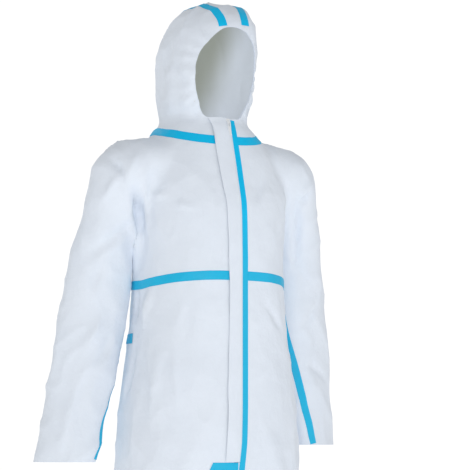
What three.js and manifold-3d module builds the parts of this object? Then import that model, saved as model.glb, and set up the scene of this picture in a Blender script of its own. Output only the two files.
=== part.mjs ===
// A hooded chemical protective coverall, worn open-shaped as on a wearer. Millimetres, +Z up, the front faces -Y.
// The origin is the centre of the neck opening, where the wearer's neck and shoulders carry the suit.
import * as THREE from "three";
import { mergeVertices } from "three/addons/utils/BufferGeometryUtils.js";
import Module from "manifold-3d";

const wasm = await Module();
wasm.setup();

// ---- Driving dimensions -------------------------------------------------------------------------------------

const CLOTH = 3; // wall of a fabric panel
const GAP = 0.3; // air between pieces that touch
const TAPE_LIFT = 0.5; // from the cloth up to the underside of a seam tape
const TAPE_TOP = 1.5; // from the cloth up to the outside of a seam tape
const TAPE_WIDTH = 20;
const HOOD_TAPE_WIDTH = 16;
const ELASTIC_TOP = -CLOTH - GAP; // outside of an elastic band, inside the cloth
const ELASTIC_BOTTOM = ELASTIC_TOP - 1.7;

const CHEST_SEAM_Z = -288;
const WAIST_Z = -406;
const CUFF_Z = { left: -615, right: -648 }; // the left arm is held a little more bent
const HEM_Z = -1517;
const ZIP_BOTTOM_Z = -648;
const PATCH_HEIGHT = 18;
const ZIP_TOP_Z = 30;
const FRONT_BEND_Z = -150; // above it the front line leans back to the chin, below it the front is upright
const SIDE_SEAM_Y = 5;
const NECK_BAND_TOP_Z = 12;
const FAR = 2000;

const HOOD_SKIRT_Z = 8; // the hood's lower edge, inside the neck of the yoke
const CHIN_SLOT = 22; // half width of the room the hood leaves for the zip at the chin
const SHOULDER = { x: 185, z: -120, radius: 100 }; // hinge line along Y
const ELBOW = { x: 234, y: 46, z: -410, radius: 62, lean: THREE.MathUtils.degToRad(10) };
const HIP = { y: 0, z: -830, radius: 140 };
const KNEE = { y: -9, z: -1125, radius: 122 };

// Torso sections: height, half width, front and back depth, and how square the section is.
const TRUNK = [
  [45, 97, -94, 82, 2.2],
  [0, 113, -106, 92, 2.2],
  [-20, 128, -111, 104, 2.3],
  [-50, 140, -119, 116, 2.4],
  [-100, 149, -132, 124, 2.5],
  [-150, 150, -145, 126, 2.5],
  [-215, 150, -146, 124, 2.4],
  [-288, 151, -146, 122, 2.4],
  [-395, 158, -146, 120, 2.3],
  [-500, 172, -146, 122, 2.3],
  [-620, 184, -145, 125, 2.3],
  [-720, 189, -135, 124, 2.3],
  [-800, 192, -122, 117, 2.3],
  [-850, 190, -100, 100, 2.2],
  [-876, 180, -40, 45, 2.0],
].map(([z, a, front, back, power]) => ({ z, a, front, back, power }));

const HOOD = [
  [8, 101, -87, 80, 2.1],
  [30, 94, -89, 80, 2.1],
  [60, 91, -104, 88, 2.2],
  [100, 94, -121, 96, 2.2],
  [150, 96, -131, 100, 2.2],
  [190, 93, -133, 98, 2.2],
  [220, 86, -127, 88, 2.2],
  [245, 72, -108, 68, 2.2],
  [260, 50, -80, 42, 2.2],
  [266, 22, -45, 12, 2.0],
].map(([z, a, front, back, power]) => ({ z, a, front, back, power }));

// Left sleeve sections: centre, direction in the XZ plane, half width, half depth, and the turn of the flattened tube.
const SLEEVE = [
  [60, 2, -52, -5, 50, 88, 0],
  [128, 4, -62, -14, 56, 84, 0],
  [158, 7, -76, -30, 66, 76, 0],
  [178, 11, -100, -50, 73, 70, 0],
  [190, 14, -124, -66, 62, 63, 2],
  [200, 22, -165, -82, 55, 54, 6],
  [210, 30, -215, -86, 58, 46, 12],
  [220, 38, -290, -83, 64, 40, 17],
  [229, 44, -370, -81, 67, 38, 17],
  [240, 48, -440, -80, 66, 37, 22],
  [254, 54, -520, -79, 64, 34, 30],
  [266, 58, -580, -80, 64, 31, 36],
  [279, 62, -664, -80, 63, 30, 38],
].map(([x, y, z, heading, a, b, turn]) => ({ x, y, z, heading, a, b, turn }));

// Left leg sections: height, centre, half width and half depth.
const LEG = [
  [-760, 95, -2, 93, 112],
  [-830, 97, -3, 94, 110],
  [-900, 100, -4, 94, 104],
  [-980, 105, -6, 92, 98],
  [-1100, 112, -8, 91, 93],
  [-1200, 115, -12, 90, 90],
  [-1350, 117, -24, 87, 88],
  [-1450, 117, -32, 85, 87],
  [-1540, 117, -38, 84, 86],
].map(([z, x, y, a, b]) => ({ z, x, y, a, b }));

// Half of the face opening's outline, from the forehead to the chin.
const FACE_HALF = [
  [0, 198],
  [30, 194],
  [48, 178],
  [58, 156],
  [64, 118],
  [60, 85],
  [50, 57],
  [37, 31],
  [20, 27],
  [0, 26],
];
const FACE_HEM = 9; // width of the elastic's channel round the opening

// The crown panel's seam, as half widths along the depth of the hood.
const CROWN_SEAM = [
  [-150, 20],
  [-128, 23],
  [-20, 45],
  [120, 48],
];

const ZIP_HALF_SLOT = 11;
const FLAP_FREE_X = -18;
const FLAP_HINGE_X = 9;
const FLAP_LIFT = 4;
const FLAP_TOP = 5.2;
const FLAP_TAPE_X = [9.6, 21.6];

const WHITE = new THREE.Color(0.86, 0.89, 0.94);
const BLUE = new THREE.Color(0.0, 0.6, 0.84);
const GREY = new THREE.Color(0.62, 0.64, 0.64);

// ---- Solids -------------------------------------------------------------------------------------------------

function solidOf(geometry) {
  const bare = geometry.clone();
  bare.deleteAttribute("normal");
  bare.deleteAttribute("uv");
  const merged = mergeVertices(bare, 1e-3);
  return new wasm.Manifold(
    new wasm.Mesh({
      numProp: 3,
      vertProperties: new Float32Array(merged.attributes.position.array),
      triVerts: new Uint32Array(merged.index.array),
    }),
  );
}

function geometryOf(solid) {
  const mesh = solid.getMesh();
  const geometry = new THREE.BufferGeometry();
  geometry.setAttribute("position", new THREE.BufferAttribute(mesh.vertProperties, 3));
  geometry.setIndex(new THREE.BufferAttribute(mesh.triVerts, 1));
  geometry.computeVertexNormals();
  return geometry;
}

// A closed solid through rings of points that all have the same count.
function loft(rings) {
  const count = rings[0].length;
  const middle = (ring) => ring.reduce((sum, p) => sum.add(p), new THREE.Vector3()).divideScalar(count);
  const points = [...rings.flat(), middle(rings[0]), middle(rings.at(-1))];
  const index = [];
  const first = rings.length * count;
  for (let r = 0; r < rings.length - 1; r++) {
    for (let k = 0; k < count; k++) {
      const a = r * count + k;
      const b = r * count + ((k + 1) % count);
      index.push(a, a + count, b, b, a + count, b + count);
    }
  }
  for (let k = 0; k < count; k++) {
    const next = (k + 1) % count;
    const last = (rings.length - 1) * count;
    index.push(first, k, next, first + 1, last + next, last + k);
  }
  const geometry = new THREE.BufferGeometry().setFromPoints(points);
  geometry.setIndex(index);
  const solid = solidOf(geometry);
  if (solid.volume() > 0) return solid;
  for (let i = 0; i < index.length; i += 3) [index[i + 1], index[i + 2]] = [index[i + 2], index[i + 1]];
  geometry.setIndex(index);
  return solidOf(geometry);
}

const union = (solids) => solids.reduce((sum, one) => sum.add(one));

function box(x0, x1, y0, y1, z0, z1) {
  const geometry = new THREE.BoxGeometry(x1 - x0, y1 - y0, z1 - z0);
  geometry.translate((x0 + x1) / 2, (y0 + y1) / 2, (z0 + z1) / 2);
  return solidOf(geometry);
}

const below = (z) => box(-FAR, FAR, -FAR, FAR, -2 * FAR, z);
const above = (z) => box(-FAR, FAR, -FAR, FAR, z, 2 * FAR);
const band = (z0, z1) => box(-FAR, FAR, -FAR, FAR, z0, z1);

// A drum round a hinge line. The moving piece stays outside a slightly larger drum than the fixed piece fills.
const DRUM_SIDES = 40;

function drum(centre, direction, radius, outside) {
  const r = outside ? (radius + GAP) / Math.cos(Math.PI / DRUM_SIDES) : radius;
  const geometry = new THREE.CylinderGeometry(r, r, 700, DRUM_SIDES);
  const turn = new THREE.Quaternion().setFromUnitVectors(new THREE.Vector3(0, 1, 0), direction);
  geometry.applyQuaternion(turn);
  geometry.translate(centre.x, centre.y, centre.z);
  return solidOf(geometry);
}

// ---- The suit's outer shape, grown or shrunk by an offset -----------------------------------------------------

const signedPower = (value, power) => Math.sign(value) * Math.abs(value) ** power;

function torsoRing(section, offset, count) {
  const ring = [];
  for (let k = 0; k < count; k++) {
    const angle = (2 * Math.PI * k) / count;
    const side = signedPower(Math.cos(angle), 2 / section.power);
    const depth = signedPower(Math.sin(angle), 2 / section.power);
    const reach = depth < 0 ? SIDE_SEAM_Y - section.front : section.back - SIDE_SEAM_Y;
    ring.push(
      new THREE.Vector3(side * (section.a + offset), SIDE_SEAM_Y + depth * (reach + offset), section.z),
    );
  }
  return ring;
}

// The inner skin runs past an open end, so that the end is open.
function stretchEnd(ring, offset, dz) {
  if (offset < 0) ring.forEach((p) => (p.z += dz));
  return ring;
}

function trunk(offset) {
  const rings = TRUNK.map((section) => torsoRing(section, offset, 24));
  stretchEnd(rings[0], offset, 5);
  if (offset < 0) rings.at(-1).forEach((p) => (p.z -= offset));
  return loft(rings);
}

function hood(offset) {
  const rings = HOOD.map((section) => torsoRing(section, offset, 24));
  stretchEnd(rings[0], offset, -5);
  rings.at(-1).forEach((p) => (p.z += offset));
  return loft(rings);
}

// The point of a sleeve section at an angle: 0 is outwards or up, 180 degrees is the underarm seam.
function sleevePoint(section, offset, angle, side) {
  const heading = THREE.MathUtils.degToRad(section.heading);
  const out = new THREE.Vector3(-Math.sin(heading), 0, Math.cos(heading));
  const back = new THREE.Vector3(0, 1, 0);
  const turn = THREE.MathUtils.degToRad(section.turn);
  const u = Math.cos(angle) * (section.a + offset);
  const v = Math.sin(angle) * (section.b + offset);
  const point = new THREE.Vector3(section.x, section.y, section.z);
  point.addScaledVector(out, u * Math.cos(turn) - v * Math.sin(turn));
  point.addScaledVector(back, u * Math.sin(turn) + v * Math.cos(turn));
  point.x *= side;
  return point;
}

function sleeve(offset, side) {
  const count = 14;
  const rings = SLEEVE.map((section) => {
    const ring = [];
    for (let k = 0; k < count; k++) ring.push(sleevePoint(section, offset, (2 * Math.PI * k) / count, side));
    return ring;
  });
  stretchEnd(rings.at(-1), offset, -4);
  return loft(rings);
}

function leg(offset, side) {
  const count = 16;
  const rings = LEG.map((section) => {
    const ring = [];
    for (let k = 0; k < count; k++) {
      const angle = (2 * Math.PI * k) / count;
      const x = section.x + Math.cos(angle) * (section.a + offset);
      ring.push(new THREE.Vector3(side * x, section.y + Math.sin(angle) * (section.b + offset), section.z));
    }
    return ring;
  });
  stretchEnd(rings.at(-1), offset, -4);
  return loft(rings);
}

const SIDES = [1, -1]; // left, right
const sideName = (side) => (side > 0 ? "left" : "right");
const wholeBody = (offset) =>
  union([trunk(offset), ...SIDES.flatMap((side) => [sleeve(offset, side), leg(offset, side)])]);

// A layer of the body between two offsets.
const bodyLayer = (outer, inner) => wholeBody(outer).subtract(wholeBody(inner));
const trunkLayer = (outer, inner) => trunk(outer).subtract(trunk(inner));
const hoodLayer = (outer, inner) => hood(outer).subtract(hood(inner));

// ---- Where the suit is cut into its moving lengths ------------------------------------------------------------

const alongX = new THREE.Vector3(1, 0, 0);
const alongY = new THREE.Vector3(0, 1, 0);
const at = (x, y, z) => new THREE.Vector3(x, y, z);

const shoulderDrum = (outside, side) =>
  drum(at(side * SHOULDER.x, 0, SHOULDER.z), alongY, SHOULDER.radius, outside);
const hipDrum = (outside) => drum(at(0, HIP.y, HIP.z), alongX, HIP.radius, outside);
const kneeDrum = (outside) => drum(at(0, KNEE.y, KNEE.z), alongX, KNEE.radius, outside);
const elbowAxis = (side) => at(Math.cos(ELBOW.lean), 0, side * Math.sin(ELBOW.lean));
const elbowDrum = (outside, side) =>
  drum(at(side * ELBOW.x, ELBOW.y, ELBOW.z), elbowAxis(side), ELBOW.radius, outside);

// The part of a layer that stays on the torso.
function onTorso(layer) {
  let kept = layer.subtract(above(NECK_BAND_TOP_Z));
  kept = kept.subtract(below(HIP.z).subtract(hipDrum(false)));
  for (const side of SIDES) {
    const arm = sleeve(GAP + TAPE_TOP, side).intersect(below(SHOULDER.z - 20));
    kept = kept.subtract(arm.subtract(shoulderDrum(false, side)));
    kept = kept.subtract(side > 0 ? box(200, FAR, -FAR, FAR, -FAR, -230) : box(-FAR, -200, -FAR, FAR, -FAR, -230));
  }
  return kept;
}

const sleeveCut = (solid, side) =>
  solid.intersect(below(SHOULDER.z - 20)).subtract(shoulderDrum(true, side)).intersect(above(CUFF_Z[sideName(side)]));
const upperSleeveCut = (solid, side) =>
  sleeveCut(solid, side).subtract(below(ELBOW.z).subtract(elbowDrum(false, side)));
const forearmCut = (solid, side) =>
  sleeveCut(solid, side).intersect(below(ELBOW.z).subtract(elbowDrum(true, side)));
const legCut = (solid) => solid.intersect(below(HIP.z)).subtract(hipDrum(true)).intersect(above(HEM_Z));
const thighCut = (solid) => legCut(solid).subtract(below(KNEE.z).subtract(kneeDrum(false)));
const shinCut = (solid) => legCut(solid).intersect(below(KNEE.z).subtract(kneeDrum(true)));

// ---- The suit as an assembly ----------------------------------------------------------------------------------

const suit = new THREE.Group();

const fabric = new THREE.MeshStandardMaterial({ color: WHITE, roughness: 0.75, metalness: 0 });
const tape = new THREE.MeshStandardMaterial({ color: BLUE, roughness: 0.45, metalness: 0 });
const elastic = new THREE.MeshStandardMaterial({ color: GREY, roughness: 0.85, metalness: 0 });
const plastic = new THREE.MeshStandardMaterial({ color: WHITE, roughness: 0.4, metalness: 0 });

function add(name, solid, material) {
  const mesh = new THREE.Mesh(geometryOf(solid), material);
  mesh.name = name;
  suit.add(mesh);
}

const half = GAP / 2;
const frontHalf = box(-FAR, FAR, -FAR, SIDE_SEAM_Y - half, -FAR, FAR);
const backHalf = box(-FAR, FAR, SIDE_SEAM_Y + half, FAR, -FAR, FAR);
const sideHalf = (side) =>
  side > 0 ? box(half, FAR, -FAR, FAR, -FAR, FAR) : box(-FAR, -half, -FAR, FAR, -FAR, FAR);

// Torso panels: the yoke above the chest seam, with the shoulders, and the lower body under it, with the seat.
const torsoCloth = onTorso(bodyLayer(0, -CLOTH));
const zipSlot = box(-ZIP_HALF_SLOT, ZIP_HALF_SLOT, -FAR, 0, ZIP_BOTTOM_Z, 100);
const yoke = torsoCloth.intersect(above(CHEST_SEAM_Z + half));
const lowerBody = torsoCloth.intersect(below(CHEST_SEAM_Z - half));
for (const side of SIDES) {
  const which = sideName(side);
  const front = frontHalf.intersect(sideHalf(side)).subtract(zipSlot);
  add(`${which}_front_yoke`, yoke.intersect(front), fabric);
  add(`${which}_lower_front`, lowerBody.intersect(front), fabric);
  add(`${which}_lower_back`, lowerBody.intersect(backHalf).intersect(sideHalf(side)), fabric);
}
add("back_yoke", yoke.intersect(backHalf), fabric);

// Hood: a crown strip between two side panels, with the face opening.
function faceShape(grow) {
  const outline = [];
  for (const [x, z] of FACE_HALF) outline.push(new THREE.Vector2(x, z));
  for (const [x, z] of FACE_HALF.slice(1, -1).reverse()) outline.push(new THREE.Vector2(-x, z));
  const middle = new THREE.Vector2(0, 112);
  const moved = outline.map((p) => {
    const away = p.clone().sub(middle);
    return middle.clone().addScaledVector(away.clone().normalize(), away.length() + grow);
  });
  const geometry = new THREE.ExtrudeGeometry(new THREE.Shape(moved), { depth: 150, bevelEnabled: false });
  geometry.rotateX(Math.PI / 2);
  geometry.translate(0, -30, 0);
  return solidOf(geometry);
}

// A wall that follows the crown seam from the forehead to the nape, between two distances from it.
function crownBand(inner, outer, side) {
  const line = (extra) => CROWN_SEAM.map(([y, x]) => new THREE.Vector2(side * (x + extra), y));
  const outline = [...line(outer), ...line(inner).reverse()];
  const geometry = new THREE.ExtrudeGeometry(new THREE.Shape(outline), { depth: 400, bevelEnabled: false });
  geometry.translate(0, 0, -60);
  return solidOf(geometry).subtract(box(-70, 70, -200, -60, -100, 60));
}

const chinRoom = box(-CHIN_SLOT, CHIN_SLOT, -200, -60, -20, 60);
const hoodCloth = hoodLayer(0, -CLOTH)
  .intersect(above(HOOD_SKIRT_Z))
  .subtract(faceShape(0))
  .subtract(chinRoom);
const crownStrip = crownBand(-100, -half, 1).intersect(crownBand(-100, -half, -1));
const crownGap = crownBand(-100, half, 1).intersect(crownBand(-100, half, -1));
add("hood_crown_panel", hoodCloth.intersect(crownStrip), fabric);
for (const side of SIDES) {
  const which = sideName(side);
  add(`hood_${which}_panel`, hoodCloth.subtract(crownGap).intersect(sideHalf(side)), fabric);
  const seam = crownBand(-HOOD_TAPE_WIDTH / 2, HOOD_TAPE_WIDTH / 2, side);
  const strip = hoodLayer(TAPE_TOP, TAPE_LIFT).intersect(seam).subtract(faceShape(0));
  add(`hood_${which}_seam_tape`, strip.intersect(above(NECK_BAND_TOP_Z)), tape);
}
const faceChannel = faceShape(FACE_HEM).subtract(faceShape(0));
const faceElastic = hoodLayer(ELASTIC_TOP, ELASTIC_BOTTOM).intersect(faceChannel);
add("face_opening_elastic", faceElastic.subtract(chinRoom), elastic);

// A square bar along a surface: it picks the strip of a layer that a seam tape covers.
function bar(points, normals, halfWidth, closed) {
  const rings = points.map((p, k) => {
    const before = points[k - 1] ?? (closed ? points.at(-1) : p);
    const after = points[k + 1] ?? (closed ? points[0] : p);
    const along = after.clone().sub(before).normalize();
    const across = along.clone().cross(normals[k]).normalize().multiplyScalar(halfWidth);
    const deep = normals[k].clone().normalize().multiplyScalar(12);
    const corner = (i, j) => p.clone().addScaledVector(across, i).addScaledVector(deep, j);
    return [corner(1, 1), corner(-1, 1), corner(-1, -1), corner(1, -1)];
  });
  return loft(rings);
}

// Neck seam tape: round the base of the hood, lower in front, in two front lengths and one behind.
const neckPoints = [];
const neckNormals = [];
for (let k = 0; k <= 14; k++) {
  const angle = -Math.PI / 2 + 0.05 + ((2 * Math.PI - 0.1) * k) / 14;
  const depth = Math.sin(angle);
  const [reach, rise] = depth < 0 ? [116, 18] : [98, 6];
  neckPoints.push(at(120 * Math.cos(angle), SIDE_SEAM_Y + reach * depth, -4 + rise * depth));
  neckNormals.push(at(Math.cos(angle), depth, 0.35));
}
const neckBar = bar(neckPoints, neckNormals, TAPE_WIDTH / 2);
const tapeLayer = onTorso(bodyLayer(TAPE_TOP, TAPE_LIFT));
const neckTape = tapeLayer.intersect(neckBar);
const flapZone = box(FLAP_FREE_X - 1, FLAP_TAPE_X[1] + GAP, -FAR, 0, -FAR, FAR);
for (const side of SIDES) {
  const front = frontHalf.intersect(sideHalf(side)).subtract(flapZone);
  add(`neck_tape_${sideName(side)}`, neckTape.intersect(front), tape);
}
add("neck_tape_back", neckTape.intersect(backHalf), tape);

// Chest seam tape, on the front beside the flap and across the back.
const trunkTape = trunkLayer(TAPE_TOP, TAPE_LIFT);
const chestBand = band(CHEST_SEAM_Z - TAPE_WIDTH / 2, CHEST_SEAM_Z + TAPE_WIDTH / 2);
const chestTape = trunkTape.intersect(chestBand);
const armRoom = union(SIDES.map((side) => sleeve(GAP + TAPE_TOP, side)));
for (const side of SIDES) {
  const front = frontHalf.intersect(sideHalf(side)).subtract(flapZone).subtract(armRoom);
  add(`chest_tape_${sideName(side)}`, chestTape.intersect(front), tape);
}
add("chest_tape_back", chestTape.intersect(backHalf).subtract(armRoom), tape);

// Waist: an elastic inside the back, and the tape that covers its stitching outside.
const waistBand = band(WAIST_Z - TAPE_WIDTH / 2, WAIST_Z + TAPE_WIDTH / 2).intersect(backHalf);
add("waist_elastic", trunkLayer(ELASTIC_TOP, ELASTIC_BOTTOM).intersect(waistBand), elastic);
add("waist_tape", trunkTape.intersect(waistBand), tape);

// Zip: two woven tapes behind the slot, the coil between them, and the stops.
const zipLength = band(ZIP_BOTTOM_Z - 8, ZIP_TOP_Z - 2);
const zipDepth = trunkLayer(-CLOTH - GAP, -CLOTH - GAP - 1).intersect(zipLength);
for (const side of SIDES) {
  const edge = side > 0 ? box(1.8, 17, -FAR, 0, -FAR, FAR) : box(-17, -1.8, -FAR, 0, -FAR, FAR);
  add(`zip_tape_${sideName(side)}`, zipDepth.intersect(edge), fabric);
}
const coil = trunkLayer(-1.4, -CLOTH - GAP - 1).intersect(box(-1.5, 1.5, -FAR, 0, -FAR, FAR));
add("zip_coil", coil.intersect(band(ZIP_BOTTOM_Z, ZIP_TOP_Z - 4)), plastic);
const stopLayer = trunkLayer(0, -CLOTH);
const stopBand = band(ZIP_BOTTOM_Z + 2, ZIP_BOTTOM_Z + 8);
const stopSide = box(1.8, 5, -FAR, 0, -FAR, FAR).add(box(-5, -1.8, -FAR, 0, -FAR, FAR));
add("zip_bottom_stop", stopLayer.intersect(stopBand).intersect(stopSide.add(box(-2, 2, -FAR, 0, -FAR, FAR)))
  .subtract(trunkLayer(-1, -CLOTH - GAP - 2).intersect(box(-1.8, 1.8, -FAR, 0, -FAR, FAR))), plastic);

// Storm flap over the zip, in a chin length and a body length, each with its adhesive strip.
const flapSkin = trunkLayer(FLAP_TOP, FLAP_LIFT).intersect(box(FLAP_FREE_X, FLAP_HINGE_X, -FAR, 0, -FAR, FAR));
const glueSkin = trunkLayer(FLAP_LIFT - GAP, TAPE_TOP + GAP)
  .intersect(box(FLAP_FREE_X, FLAP_FREE_X + 6, -FAR, 0, -FAR, FAR));
const flapSpans = {
  chin_flap: [FRONT_BEND_Z + half, ZIP_TOP_Z],
  storm_flap: [ZIP_BOTTOM_Z + 2, FRONT_BEND_Z - half],
};
for (const [name, [low, high]] of Object.entries(flapSpans)) {
  add(name, flapSkin.intersect(band(low, high)), fabric);
  add(`${name}_adhesive`, glueSkin.intersect(band(low + 4, Math.min(high, NECK_BAND_TOP_Z) - 4)), plastic);
}
const flapSeam = trunkTape.intersect(box(FLAP_TAPE_X[0], FLAP_TAPE_X[1], -FAR, 0, -FAR, FAR));
add("flap_seam_tape", flapSeam.intersect(band(ZIP_BOTTOM_Z - PATCH_HEIGHT + GAP, NECK_BAND_TOP_Z - 1)), tape);

// The tape patch that closes the flap's lower end, and the crotch seam tapes under it.
const patch = trunkTape.intersect(box(-42, FLAP_TAPE_X[0] - GAP, -FAR, 0, ZIP_BOTTOM_Z - PATCH_HEIGHT, ZIP_BOTTOM_Z));
add("flap_end_tape", patch, tape);
const middleStrip = box(-TAPE_WIDTH / 2, TAPE_WIDTH / 2, -FAR, FAR, -FAR, ZIP_BOTTOM_Z - PATCH_HEIGHT - GAP);
const riseTape = tapeLayer.intersect(middleStrip).intersect(above(-862));
add("crotch_tape_front", riseTape.intersect(frontHalf), tape);
add("crotch_tape_back", riseTape.intersect(backHalf), tape);

// Zip slider at the top of the coil, and its pull tab, hanging down flat under the flap.
const frontLine = (z) => TRUNK[0].front + ((TRUNK[5].front - TRUNK[0].front) * (TRUNK[0].z - z)) / (TRUNK[0].z - TRUNK[5].z);
const frontLean = Math.atan2(TRUNK[0].front - TRUNK[5].front, TRUNK[0].z - TRUNK[5].z);
function onFront(geometry, z, lift) {
  geometry.rotateX(-frontLean);
  geometry.translate(0, frontLine(z) - lift, z);
  return solidOf(geometry);
}
const SLIDER_Z = 18;
const sliderPlate = new THREE.Shape();
sliderPlate.moveTo(-4.5, 7);
sliderPlate.quadraticCurveTo(0, 9.5, 4.5, 7);
sliderPlate.lineTo(3.2, -7);
sliderPlate.lineTo(-3.2, -7);
const plateGeometry = new THREE.ExtrudeGeometry(sliderPlate, { depth: 1.3, bevelEnabled: false, curveSegments: 6 });
plateGeometry.rotateX(Math.PI / 2);
plateGeometry.translate(0, 0.65, 0);
const bridge = new THREE.BoxGeometry(1.6, 1.6, 9);
const slider = onFront(plateGeometry, SLIDER_Z, 0.2).add(onFront(bridge, SLIDER_Z, 1.5));
add("zip_slider", slider, plastic);
const tabPlate = new THREE.Shape();
tabPlate.moveTo(-3.5, 4);
tabPlate.lineTo(3.5, 4);
tabPlate.lineTo(3, -24);
tabPlate.quadraticCurveTo(0, -27, -3, -24);
tabPlate.holes.push(new THREE.Path().moveTo(-1.6, 1.5).lineTo(-1.6, -6).lineTo(1.6, -6).lineTo(1.6, 1.5));
const tabGeometry = new THREE.ExtrudeGeometry(tabPlate, { depth: 0.8, bevelEnabled: false, curveSegments: 6 });
tabGeometry.rotateX(Math.PI / 2);
tabGeometry.translate(0, 0.4, 0);
add("zip_pull_tab", onFront(tabGeometry, SLIDER_Z - 2, 3.1), plastic);

// Sleeves and legs, each in two lengths with its seam tape and its end elastic.
for (const side of SIDES) {
  const which = sideName(side);
  const sleeveCloth = sleeve(0, side).subtract(sleeve(-CLOTH, side));
  add(`${which}_upper_sleeve`, upperSleeveCut(sleeveCloth, side), fabric);
  add(`${which}_forearm_sleeve`, forearmCut(sleeveCloth, side), fabric);
  const seamSections = SLEEVE.slice(5);
  const seamPath = seamSections.map((section) => sleevePoint(section, 1, Math.PI, side));
  const seamOut = seamSections.map((section, k) => seamPath[k].clone().sub(sleevePoint(section, 1, 0, side)));
  const seam = sleeve(TAPE_TOP, side).subtract(sleeve(TAPE_LIFT, side));
  const strip = seam.intersect(bar(seamPath, seamOut, TAPE_WIDTH / 2));
  const clearOfTrunk = trunk(TAPE_TOP + GAP);
  add(`${which}_upper_sleeve_tape`, upperSleeveCut(strip, side).subtract(clearOfTrunk), tape);
  add(`${which}_forearm_tape`, forearmCut(strip, side), tape);
  const cuffBand = band(CUFF_Z[which] + 2, CUFF_Z[which] + 14);
  const cuffInside = sleeve(ELASTIC_TOP, side).subtract(sleeve(ELASTIC_BOTTOM, side));
  add(`${which}_cuff_elastic`, cuffInside.intersect(cuffBand), elastic);

  const legCloth = leg(0, side).subtract(leg(-CLOTH, side));
  add(`${which}_thigh`, thighCut(legCloth), fabric);
  add(`${which}_shin`, shinCut(legCloth), fabric);
  const inseam = leg(TAPE_TOP, side).subtract(leg(TAPE_LIFT, side));
  const insidePath = LEG.slice(2).map((section) => at(side * (section.x - section.a), section.y, section.z));
  const inseamStrip = inseam.intersect(bar(insidePath, insidePath.map(() => at(-side, 0, 0)), TAPE_WIDTH / 2));
  add(`${which}_thigh_tape`, thighCut(inseamStrip), tape);
  add(`${which}_shin_tape`, shinCut(inseamStrip), tape);
  const ankleInside = leg(ELASTIC_TOP, side).subtract(leg(ELASTIC_BOTTOM, side));
  add(`${which}_ankle_elastic`, ankleInside.intersect(band(HEM_Z + 2, HEM_Z + 16)), elastic);
}

export default suit;
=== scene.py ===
"""A white hooded protective coverall with blue taped seams, standing open as on a wearer.

Metres, +Z up, the front faces -Y, the suit's own left arm is on +X. Shapes below are drawn in millimetres
and scaled once, where each surface is made.
"""
import math

import bmesh
import bpy
import numpy as np
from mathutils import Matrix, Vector, noise
from mathutils.bvhtree import BVHTree


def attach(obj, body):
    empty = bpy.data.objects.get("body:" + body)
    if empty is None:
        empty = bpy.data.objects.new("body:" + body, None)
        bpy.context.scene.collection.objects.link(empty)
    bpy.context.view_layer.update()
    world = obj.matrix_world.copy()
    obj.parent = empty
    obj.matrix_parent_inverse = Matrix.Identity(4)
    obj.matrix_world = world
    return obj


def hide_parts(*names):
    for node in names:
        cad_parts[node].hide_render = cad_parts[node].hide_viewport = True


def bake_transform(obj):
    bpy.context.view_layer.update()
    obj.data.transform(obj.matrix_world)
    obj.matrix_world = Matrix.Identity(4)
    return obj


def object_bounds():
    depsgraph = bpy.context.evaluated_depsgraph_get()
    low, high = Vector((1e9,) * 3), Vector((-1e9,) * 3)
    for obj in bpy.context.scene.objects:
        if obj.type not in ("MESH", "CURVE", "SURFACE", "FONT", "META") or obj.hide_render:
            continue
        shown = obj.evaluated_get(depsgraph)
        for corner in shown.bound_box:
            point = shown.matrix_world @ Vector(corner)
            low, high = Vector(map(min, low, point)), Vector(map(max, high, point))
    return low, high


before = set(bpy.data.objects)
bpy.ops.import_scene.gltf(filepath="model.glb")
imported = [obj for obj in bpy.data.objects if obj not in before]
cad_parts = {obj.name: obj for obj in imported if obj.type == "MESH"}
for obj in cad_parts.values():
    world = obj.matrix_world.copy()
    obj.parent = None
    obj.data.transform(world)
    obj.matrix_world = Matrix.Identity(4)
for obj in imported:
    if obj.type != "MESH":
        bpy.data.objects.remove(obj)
cad_box = [list(corner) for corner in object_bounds()]

# ---- Camera, floor and studio light --------------------------------------------------------------
# The suit is seen from its right front, from hip height, with a long lens. A broad soft light stands by the
# camera, a weaker one on the other side and one behind, and the room is white.
TURN = math.radians(25)
towards_camera = Vector((-math.sin(TURN), -math.cos(TURN), 0))
camera_right = Vector((math.cos(TURN), -math.sin(TURN), 0))
camera = bpy.data.objects.new("camera", bpy.data.cameras.new("camera"))
camera.location = towards_camera * 4.093 + camera_right * 0.056 + Vector((0, 0, -0.6))
camera.rotation_euler = (math.radians(90 + 5.64), 0, -TURN)
camera.data.lens = 157
camera.data.sensor_width = 36
camera.data.clip_end = 60
bpy.context.scene.collection.objects.link(camera)
bpy.context.scene.camera = camera


def softbox(name, place, aim, size, power, tint=(1, 1, 1)):
    lamp = bpy.data.lights.new(name, "AREA")
    lamp.shape, lamp.size, lamp.energy, lamp.color = "SQUARE", size, power, tint
    stand = bpy.data.objects.new(name, lamp)
    stand.location = place
    stand.rotation_euler = (Vector(aim) - Vector(place)).to_track_quat("-Z", "Y").to_euler()
    bpy.context.scene.collection.objects.link(stand)


softbox("key_softbox", (-1.9, -4.3, -0.3), (0, 0, -0.4), 2.2, 47)
softbox("fill_softbox", (3.2, -3.0, 0.6), (0, 0, -0.4), 2.0, 15, (0.93, 0.96, 1.0))
softbox("back_softbox", (-1.5, 3.6, 1.6), (0, 0, -0.4), 2.4, 20, (0.95, 0.98, 1.0))

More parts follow.
